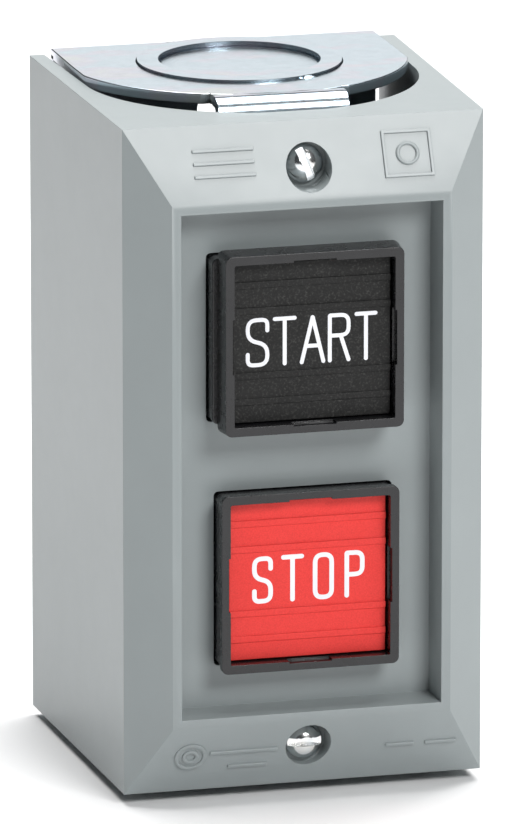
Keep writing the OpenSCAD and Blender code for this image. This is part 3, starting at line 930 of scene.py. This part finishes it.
@dataclass
class PlatedBase:
    """The folded sheet base, with half-sheared conduit knockouts and screw tabs."""

    sheet: float = 1.5
    step: float = 0.35
    small_r: float = 11.1
    large_r: float = 14.3
    tab_w: float = 18.7
    tab_drop: float = 5.0
    relief_w: float = 1.4
    relief_len: float = 2.4
    hole_r: float = 2.6
    assembly_hole_r: float = 1.75
    ground_hole_r: float = 2.1
    thread_r: float = 1.75
    hole_spread: float = 76.2
    screw_inset: float = 2.8
    tie_w: float = 2.2
    tie_turns: tuple[int, int] = (-64, 116)
    edge_r: float = 0.16
    plan: FlangePlan = field(init=False)
    top: float = field(init=False)
    centre: float = field(init=False)

    def __post_init__(self) -> None:
        """Reads the overall sizes from the frame."""
        self.plan = FlangePlan.from_frame()
        self.top = box_mm("base_bracket")[1].z - self.step
        self.centre = -frame_mount("conduit_top").y / MM

    def build(self) -> None:
        """Models the base and puts it in the frame."""
        plate = block("plate", (2 * self.plan.half, 2 * (self.top - self.sheet / 2)), 0, self.sheet)
        ground = sum(box_mm("ground_screw"), Vector()) / 2
        side = box_mm("assembly_screws")[1].x - self.screw_inset
        holes = [(self.hole_r, 0.0, end.value * self.hole_spread / 2) for end in End]
        holes += [(self.assembly_hole_r, side, 0.0), (self.assembly_hole_r, -side, 0.0)]
        holes.append((self.ground_hole_r, ground.x, ground.z))
        for r, x, z in holes:
            combine(plate, rod("hole", r, -1, self.sheet + 1, x, z, 40), Join.CUT)
        pieces = [soften(plate, self.edge_r, 2, 35)]
        for end in End:
            pieces += self.flange(end)
        dress(merge("plated_base", pieces), "station", Paints.ZINC, ["base_bracket"])

    def flange(self, end: End) -> list[Piece]:
        """One end's flange, its stamped knockouts and its tab, as solids that run into one another."""
        s = end.value
        outer, inner = s * self.top, s * (self.top - self.sheet)
        flange = slab("flange", self.plan.flange(), inner, outer)
        neck = self.plan.tab_d - self.plan.bend_r
        for side in (-1, 1):
            x = side * (self.tab_w + self.relief_w) / 2
            relief = block("relief", (self.relief_w, 4), neck - self.relief_len, self.plan.tab_d, x,
                           (outer + inner) / 2)
            combine(flange, relief, Join.CUT)
        soften(flange, self.edge_r, 2, 35)
        low, high = sorted((outer, inner))
        combine(flange, post("hole", self.large_r + 0.1, low - 1, high + 1, self.centre, 128), Join.CUT)
        smooth(flange)
        ties = [smooth(self.tie(s, math.radians(turn))) for turn in self.tie_turns]
        return [flange, smooth(self.stamping(s)), soften(self.tab(s), self.edge_r, 2, 35), *ties]

    def stamping(self, s: int) -> Piece:
        """The two half-sheared rings, turned as one stepped disc with rolled edges."""
        roll = 0.16
        gap = 0.16
        disc = [(0.0, -self.step), (self.small_r - gap, -self.step)]
        ring = [(self.small_r + gap, self.step), (self.large_r - gap / 2, self.step)]
        low = self.step - self.sheet
        groove = -self.step - 0.7
        levels = [*disc, (self.small_r - gap, groove), (self.small_r + gap, groove), *ring,
                  (self.large_r - gap / 2, low)]
        under = [(self.small_r + gap, low), (self.small_r + gap, low - 0.05),
                 (self.small_r - gap, -self.step - self.sheet), (0.0, -self.step - self.sheet)]
        points = [*self.rolled(levels, roll), *under]
        metres = [(r * MM, -self.centre * MM, s * (self.top + h) * MM) for r, h in points]
        return spun("stamping", metres, (0, -self.centre * MM, 0), (0, 0, 1), 128)

    def rolled(self, corners: Sequence[Pair], roll: float) -> list[Pair]:
        """Rounds the corners of a stepped line by a short two-point chamfer."""
        points = [corners[0]]
        for before, corner, after in zip(corners, corners[1:], corners[2:]):
            for other in (before, after):
                reach = math.dist(corner, other)
                share = min(roll, reach / 2) / reach
                near = tuple(c + (o - c) * share for c, o in zip(corner, other))
                points.append(near)
            mid = tuple((3 * c + (a + b) / 2) / 4 for c, a, b in zip(corner, points[-2], points[-1]))
            points.insert(-1, mid)
        points.append(corners[-1])
        return points

    def tab(self, s: int) -> Piece:
        """The flange's front edge carried round the bend and down behind the cover screw."""
        bend_r, tab_d = self.plan.bend_r, self.plan.tab_d
        z_axis = self.top - bend_r
        strip_back = tab_d - bend_r - 1.0
        screw_z = cover_screw_z(End.TOP)
        outline = [(strip_back, self.top)]
        inner_r = bend_r - self.sheet
        steps = 10
        for i in range(steps + 1):
            a = math.pi / 2 * (1 - i / steps)
            outline.append((tab_d - bend_r + bend_r * math.cos(a), z_axis + bend_r * math.sin(a)))
        outline += [(tab_d, screw_z - self.tab_drop), (tab_d - self.sheet, screw_z - self.tab_drop)]
        for i in range(steps + 1):
            a = math.pi / 2 * i / steps
            outline.append((tab_d - bend_r + inner_r * math.cos(a), z_axis + inner_r * math.sin(a)))
        outline.append((strip_back, self.top - self.sheet))
        half = self.tab_w / 2
        tab = raised("tab", [(-half * MM, -d * MM, s * z * MM) for d, z in outline], (2 * half * MM, 0, 0))
        hole = rod("thread", self.thread_r, tab_d - 4, tab_d + 3, 0, s * screw_z, 32)
        return combine(tab, hole, Join.CUT)

    def tie(self, s: int, turn: float) -> Piece:
        """A little bridge of torn metal that still holds the outer knockout."""
        r = self.large_r
        x = r * math.cos(turn)
        depth = self.centre - r * math.sin(turn)
        size = (self.tie_w, self.step)
        tie = block("tie", size, -0.6, 0.6, 0, s * (self.top + self.step / 2 - 0.06))
        pick_faces(tie, lambda _, normal: normal.z * s > 0.9)
        bpy.ops.transform.resize(value=(0.55, 0.5, 1), center_override=(0, 0, 0))
        leave()
        tie.rotation_euler = (0, 0, turn + math.pi / 2)
        tie.location = (x * MM, -depth * MM, 0)
        return settle(tie)


# ---- buttons


class Shape(Enum):
    """How the edge of a button's cap stands over its skirt."""

    STRAIGHT = "straight"
    FLANGED = "flanged"


Stroke = tuple[bool, float, tuple[Pair, ...]]
Word = tuple[tuple[str, float, float], ...]

START_WORD: Word = (
    ("S", -9.0, -6.25), ("T", -5.2, -2.4), ("A", -1.4, 1.65), ("R", 2.55, 5.2), ("T", 6.3, 9.0))
STOP_WORD: Word = (("S", -7.5, -5.2), ("T", -3.4, -0.8), ("O", 1.1, 3.45), ("P", 5.6, 7.8))


@dataclass(frozen=True)
class Lettering:
    """Plain engraved capitals, each a few strokes of one width with round ends."""

    width: float
    proud: float = 0.035

    def strokes(self, letter: str, w: float, h: float) -> list[Stroke]:
        """The strokes of one letter, in a box w wide and h high about the origin.

        Args:
            letter: A capital letter.
            w: Width between the outer centre lines.
            h: Height between the outer centre lines.

        Returns:
            For each stroke, whether it is closed, its corner radius and its corner points.
        """
        x, y = w / 2, h / 2
        bow = 0.46 * w
        known: dict[str, list[Stroke]] = {
            "S": [(False, bow, ((x, y - 0.24 * h), (x, y), (-x, y), (-x, 0.06 * h), (x, -0.06 * h), (x, -y),
                                (-x, -y), (-x, -y + 0.24 * h)))],
            "T": [(False, 0, ((-x, y), (x, y))), (False, 0, ((0, y), (0, -y)))],
            "A": [(False, 0.1, ((-x, -y), (0, y), (x, -y))),
                  (False, 0, ((-0.64 * x, -0.29 * y), (0.64 * x, -0.29 * y)))],
            "R": [(False, 0.42 * w, ((-x, -y), (-x, y), (x, y), (x, 0.1 * y), (-x, 0.1 * y))),
                  (False, 0, ((0.15 * x, 0.1 * y), (x, -y)))],
            "O": [(True, bow, ((x, y), (-x, y), (-x, -y), (x, -y)))],
            "P": [(False, bow, ((-x, -y), (-x, y), (x, y), (x, -0.02 * y), (-x, -0.02 * y)))],
        }
        return known[letter]

    def route(self, stroke: Stroke) -> list[Pair]:
        """Rounds the inner corners of a stroke, except at its first corner on a straight stem."""
        closed, radius, corners = stroke
        points: list[Pair] = []
        count = len(corners)
        for i, corner in enumerate(corners):
            if not closed and i in (0, count - 1):
                points.append(corner)
                continue
            before, after = Vector(corners[i - 1]), Vector(corners[(i + 1) % count])
            here = Vector(corner)
            reach = min(radius, (before - here).length / 2, (after - here).length / 2)
            if i == 1 and not closed and count == 5:
                reach = min(reach, 0.12)
            a = here.lerp(before, reach / (before - here).length)
            b = here.lerp(after, reach / (after - here).length)
            steps = 6
            for k in range(steps + 1):
                t = k / steps
                points.append(tuple(a.lerp(here, t).lerp(here.lerp(b, t), t)))
        return points

    def draw(self, stroke: Stroke, place: Vector) -> Piece:
        """Lays one stroke on a plate as a flat bead.

        Args:
            stroke: The stroke.
            place: The middle of the letter on the plate's face, in millimetres.

        Returns:
            The bead as a mesh.
        """
        closed = stroke[0]
        points = self.route(stroke)
        sized = [(x, z, 1.0) for x, z in points] if closed else self.with_round_ends(points)
        bead = swept("stroke", self.width / 2, [(x, 0, z, share) for x, z, share in sized], closed)
        bead.scale = (1, 2 * self.proud / self.width, 1)
        bead.location = (place.x * MM, place.y * MM, place.z * MM)
        return settle(bead)

    def with_round_ends(self, points: Sequence[Pair]) -> list[tuple[float, float, float]]:
        """Adds a radius to each point, and short steps beyond both ends that round them off."""
        r = self.width / 2
        steps = [0.35, 0.65, 0.87, 0.99]
        first = (Vector(points[0]) - Vector(points[1])).normalized()
        last = (Vector(points[-1]) - Vector(points[-2])).normalized()
        head = [(*(Vector(points[0]) + first * r * s), math.sqrt(1 - s * s)) for s in reversed(steps)]
        tail = [(*(Vector(points[-1]) + last * r * s), math.sqrt(1 - s * s)) for s in steps]
        return [*head, *((x, z, 1.0) for x, z in points), *tail]

    def word(self, name: str, letters: Word, height: float, face: Vector) -> Piece:
        """Lays a word on a plate.

        Args:
            name: The object's name.
            letters: Each letter with its left and right centre line, in millimetres.
            height: Height of the letters between their centre lines.
            face: The middle of the word on the plate's face, in millimetres.

        Returns:
            The word as one piece.
        """
        beads = []
        for letter, left, right in letters:
            place = face + Vector(((left + right) / 2, 0, 0))
            parts = [self.draw(s, place) for s in self.strokes(letter, right - left, height)]
            whole = parts[0]
            for part in parts[1:]:
                combine(whole, part, Join.WELD)
            beads.append(whole)
        return smooth(merge(name, beads), 60)


@dataclass
class Button:
    """One push button: cap, legend plate and skirt, all on one body."""

    key: str
    shape: Shape
    plate_finish: SparkTexture
    letters: Word
    letter_height: float
    stroke_width: float
    word_z: float = 0.0
    cap_side: float = 25.1
    rim: float = 1.25
    plate_play: float = 0.2
    plate_sink: float = 1.6
    flange_thick: float = 1.3
    skirt_wall: float = 1.4
    web: float = 1.8
    notch: float = 0.25
    stem_r: float = 2.1
    groove: float = 0.5
    clip: float = 0.7
    corner_r: float = 0.9
    ridge: float = 0.25
    ridges: tuple[Pair, ...] = ((0.3465, 0.3875), (0.1835, 0.2245))

    def __post_init__(self) -> None:
        """Reads the button's place from the frame."""
        self.body = f"{self.key}_button"
        lo, hi = box_mm(f"{self.key}_cap")
        self.lo, self.hi = lo, hi
        self.z = (lo.z + hi.z) / 2
        self.face_d = -lo.y
        self.web_d = -hi.y

    def build(self) -> None:
        """Models the button's visible pieces."""
        dress(self.cap(), self.body, Paints.GLOSS_BLACK, [f"{self.key}_cap"])
        dress(self.plate(), self.body, self.plate_finish, [f"{self.key}_legend_plate"])
        dress(self.skirt(), self.body, Paints.GLOSS_BLACK, [f"{self.key}_plunger"])
        face = Vector((0, -(self.face_d - self.plate_sink - self.ridge), self.z + self.word_z))
        lettering = Lettering(self.stroke_width)
        word = lettering.word(f"{self.key}_lettering", self.letters, self.letter_height, face)
        dress(word, self.body, Paints.LEGEND)

    def cap(self) -> Piece:
        """The square rim round the legend plate, with rounded corners and clip notches."""
        if self.shape is Shape.STRAIGHT:
            back = self.hi.x - self.lo.x
            cap = block("cap", (back, back), self.web_d, self.face_d, 0, self.z)
            pick_faces(cap, lambda _, normal: normal.y < -0.9)
            resize(self.cap_side / back, self.cap_side / back, self.z)
            leave()
            round_corners(cap, self.corner_r)
        else:
            lo, hi = box_mm(f"{self.key}_plunger")
            neck_d = self.face_d - self.flange_thick
            cap = block("cap", (self.cap_side, self.cap_side), neck_d, self.face_d, 0, self.z)
            round_corners(cap, self.corner_r)
            neck = block("neck", (hi.x - lo.x, hi.z - lo.z), self.web_d, neck_d + 0.01, 0, self.z)
            combine(cap, round_corners(neck, self.corner_r), Join.WELD)
        inside = self.cap_side - 2 * self.rim
        opening = block("inside", (inside, inside), self.web_d - 1, self.face_d + 1, 0, self.z)
        combine(cap, round_corners(opening, 0.25, 3), Join.CUT)
        notch_back = self.face_d - self.plate_sink
        for size in ((6.0, inside + 2 * self.notch), (inside + 2 * self.notch, 7.6)):
            combine(cap, block("notch", size, notch_back, self.face_d + 1, 0, self.z), Join.CUT)
        cap.name = f"{self.key}_cap_rim"
        return soften(cap, 0.22, 3)

    def plate(self) -> Piece:
        """The legend plate, with its four moulded ridges."""
        side = self.cap_side - 2 * (self.rim + self.plate_play)
        low = self.face_d - self.plate_sink - self.ridge
        plate = block("plate", (side, side), self.web_d, low, 0, self.z)
        cuts = sorted(s * share * side for pair in self.ridges for share in pair for s in (-1, 1))
        edit(plate)
        for cut in cuts:
            bpy.ops.mesh.select_all(action="SELECT")
            bpy.ops.mesh.bisect(plane_co=(0, 0, (self.z + cut) * MM), plane_no=(0, 0, 1))
        leave()
        bands = [sorted((s * a * side, s * b * side)) for a, b in self.ridges for s in (-1, 1)]

        def on_ridge(centre: Vector, normal: Vector) -> bool:
            """True for the front faces that lie between the two edges of a ridge."""
            return normal.y < -0.9 and any(a < centre.z - self.z < b for a, b in bands)

        pick_faces(plate, on_ridge)
        push(self.ridge)
        leave()
        plate.name = f"{self.key}_legend"
        return soften(plate, 0.1, 3)

    def skirt(self) -> Piece:
        """The plunger: a hollow square skirt, open at the back, on a grooved stem."""
        lo, hi = box_mm(f"{self.key}_plunger")
        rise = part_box(f"{self.key}_return_spring")[1].y / MM
        skirt_back = -rise + travel_of(f"{self.key}_press") + 0.05
        size = (hi.x - lo.x, hi.z - lo.z)
        skirt = block("skirt", size, skirt_back, self.web_d, 0, self.z)
        round_corners(skirt, self.corner_r)
        inner = (size[0] - 2 * self.skirt_wall, size[1] - 2 * self.skirt_wall)
        combine(skirt, block("inner", inner, skirt_back - 1, self.web_d - self.web, 0, self.z), Join.CUT)
        combine(skirt, self.stem(-hi.y, self.web_d - self.web + 0.2), Join.WELD)
        skirt.name = f"{self.key}_skirt"
        return soften(skirt, 0.2, 3)

    def stem(self, d0: float, d1: float) -> Piece:
        """The round stem with a groove for each retaining ring."""
        r, groove, clip = self.stem_r, self.groove, self.clip
        rings = sorted({round(d, 3) for d in self.clip_depths()})
        profile = [(0, d0), (r - 0.3, d0), (r, d0 + 0.3)]
        for d in rings:
            profile += [(r, d), (r - groove, d), (r - groove, d + clip), (r, d + clip)]
        profile += [(r, d1), (0, d1)]
        return turned("stem", profile, 0, self.z, 40)

    def clip_depths(self) -> list[float]:
        """The back depth of each retaining ring, from the frame."""
        lo, hi = box_mm(f"{self.key}_stem_clips")
        return [-hi.y, -lo.y - self.clip]


# ---- springs


def travel_of(joint: str) -> float:
    """How far a joint moves from rest, in millimetres."""
    return next(max(j["range_m"]) for j in frame["joints"] if j["name"] == joint) / MM


@dataclass
class Spring:
    """A round-wire compression spring with a closed turn at each end.

    Attributes:
        node: The frame node it stands for.
        body: The frame body it rides on.
        wire: Diameter of the wire.
        turns: Number of turns.
        joint: The joint that would shorten it; not used.
        follower: The joint of the piece at its far end, where that piece moves too; not used.
        steps: Points of the wire in one turn.
    """

    node: str
    body: str
    wire: float
    turns: int
    joint: str
    follower: str = ""
    steps: int = 26

    def build(self) -> None:
        """Winds the spring where its frame node is."""
        lo, hi = box_mm(self.node)
        r = (hi.x - lo.x - self.wire) / 2
        z = (lo.z + hi.z) / 2
        d0, length = -hi.y, hi.y - lo.y
        points = []
        for i in range(self.turns * self.steps + 1):
            turn = i / self.steps
            a = 2 * math.pi * turn
            depth = d0 + self.wire / 2 + self.climb(turn, length)
            points.append((r * math.cos(a), depth, z + r * math.sin(a), 1.0))
        coil = smooth(swept(f"{self.node}_coil", self.wire / 2, points), 60)
        dress(coil, self.body, Paints.SPRING, [self.node])
        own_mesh(coil)

    def climb(self, turn: float, length: float) -> float:
        """How far along the spring the wire has climbed after some turns."""
        closed = self.wire * 1.05
        active = self.turns - 2
        if turn < 1:
            return turn * closed
        if turn < self.turns - 1:
            return closed + (turn - 1) * (length - self.wire - 2 * closed) / active
        return length - self.wire - (self.turns - turn) * closed


# ---- working parts


class WorkingParts:
    """The pieces inside that keep their frame shapes, each with its own finish."""

    FINISHES = {
        "ground_screw": Paints.GREEN,
        "insulating_liner": Paints.FIBRE,
        "contact_block": Paints.PHENOLIC,
        "operator_frame": Paints.INNER_BLACK,
        "assembly_screws": Paints.ZINC_SCREW,
        "open_contacts": Paints.BRASS,
        "closed_contacts": Paints.BRASS,
        "fixed_contact_tips": Paints.SILVER,
        "terminal_plates": Paints.ZINC_SCREW,
        "terminal_screws": Paints.ZINC_SCREW,
        "stem_clips": Paints.SPRING,
        "bridge": Paints.COPPER,
        "bridge_tips": Paints.SILVER,
    }

    def build(self) -> None:
        """Dresses each frame node that no modelled piece stands for."""
        for name, node in frame["nodes"].items():
            key = name.removeprefix("start_").removeprefix("stop_")
            finish = self.FINISHES.get(key) or self.FINISHES.get(name)
            if finish is None or node.hide_render:
                continue
            node.data.materials.clear()
            node.data.materials.append(Paints.of(finish))
            LOG.info("%s: frame shape, %s", name, finish.name)


# ---- studio


@dataclass
class Studio:
    """A pale floor, soft lights and the camera."""

    azimuth: float = -15.036
    elevation: float = 14.160
    distance: float = 1.4955
    lens: float = 469.3
    target: tuple[float, float, float] = (0.00115, -0.0191, -0.0014)

    def build(self) -> None:
        """Sets the floor, the lights and the camera."""
        self.floor()
        self.surroundings()
        self.lights()
        self.camera()

    def floor(self) -> None:
        """A plain pale floor under the lower flange."""
        lo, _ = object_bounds()
        bpy.ops.object.select_all(action="DESELECT")
        bpy.ops.mesh.primitive_plane_add(size=6, location=(0, 0, lo.z - 0.0002))
        floor = new_piece("floor")
        mix = Recipe("pale floor")
        mix.shader.inputs["Roughness"].default_value = 0.9
        tone = [(0.3, (0.84, 0.84, 0.845)), (0.7, (0.86, 0.86, 0.86))]
        mix.connect("Base Color", mix.ramp(mix.noise(120.0), tone))
        floor.data.materials.append(mix.material)
        floor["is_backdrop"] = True

    def surroundings(self) -> None:
        """An even pale light from all sides."""
        world = bpy.data.worlds.new("studio")
        world.use_nodes = True
        world.node_tree.nodes["Background"].inputs["Color"].default_value = (0.95, 0.97, 1.0, 1)
        world.node_tree.nodes["Background"].inputs["Strength"].default_value = 0.05
        bpy.context.scene.world = world

    def lights(self) -> None:
        """A soft box high over the front, one over the top, a card behind and a low front fill."""
        self.soft_box("key", (0.40, -1.23, 0.91), (0.6, 0.5), 17.0)
        self.soft_box("top", (0.1, 0.3, 1.3), (1.4, 1.2), 36.0)
        self.soft_box("card", (0.55, 1.6, 0.45), (0.9, 0.7), 2.0)
        self.soft_box("front", (0.45, -1.5, 0.06), (0.7, 0.4), 0.5)

    def soft_box(self, name: str, place: Sequence[float], size: Sequence[float], power: float) -> None:
        """Adds a rectangular area light aimed at the station.

        Args:
            name: The light's name.
            place: Where it stands, in metres.
            size: Its width and height, in metres.
            power: Its power in watts.
        """
        lamp = bpy.data.lights.new(name, "AREA")
        lamp.shape = "RECTANGLE"
        lamp.size, lamp.size_y = size
        lamp.energy = power
        light = placed(name, lamp)
        light.location = place
        light.rotation_euler = (Vector((0, -0.03, 0)) - Vector(place)).to_track_quat("-Z", "Y").to_euler()

    def camera(self) -> None:
        """A long lens, a little to the left of the front and a little above."""
        az, el = math.radians(self.azimuth), math.radians(self.elevation)
        back = Vector((math.sin(az) * math.cos(el), -math.cos(az) * math.cos(el), math.sin(el)))
        data = bpy.data.cameras.new("camera")
        data.lens = self.lens
        data.sensor_width = 36.0
        data.clip_start, data.clip_end = 0.01, 20
        camera = placed("camera", data)
        camera.rotation_mode = "QUATERNION"
        camera.location = Vector(self.target) + back * self.distance
        camera.rotation_quaternion = (-back).to_track_quat("-Z", "Y")
        bpy.context.scene.camera = camera


def main() -> None:
    """Builds the station."""
    logging.basicConfig(level=logging.INFO, format="%(message)s")
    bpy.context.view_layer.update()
    bpy.context.scene.view_settings.view_transform = "Standard"
    Cover().build()
    CoverScrews().build()
    PlatedBase().build()
    Button("start", Shape.STRAIGHT, Paints.BLACK_PLATE, START_WORD, 6.28, 0.56, 0.03).build()
    Button("stop", Shape.FLANGED, Paints.RED_PLATE, STOP_WORD, 6.0, 0.66, 0.05).build()
    for key in ("start", "stop"):
        press, slide = f"{key}_press", f"{key}_contact_slide"
        Spring(f"{key}_return_spring", "station", 0.7, 8, press).build()
        Spring(f"{key}_contact_spring", f"{key}_button", 0.4, 9, press, slide).build()
    WorkingParts().build()
    Studio().build()


if __name__ == "__main__":
    main()
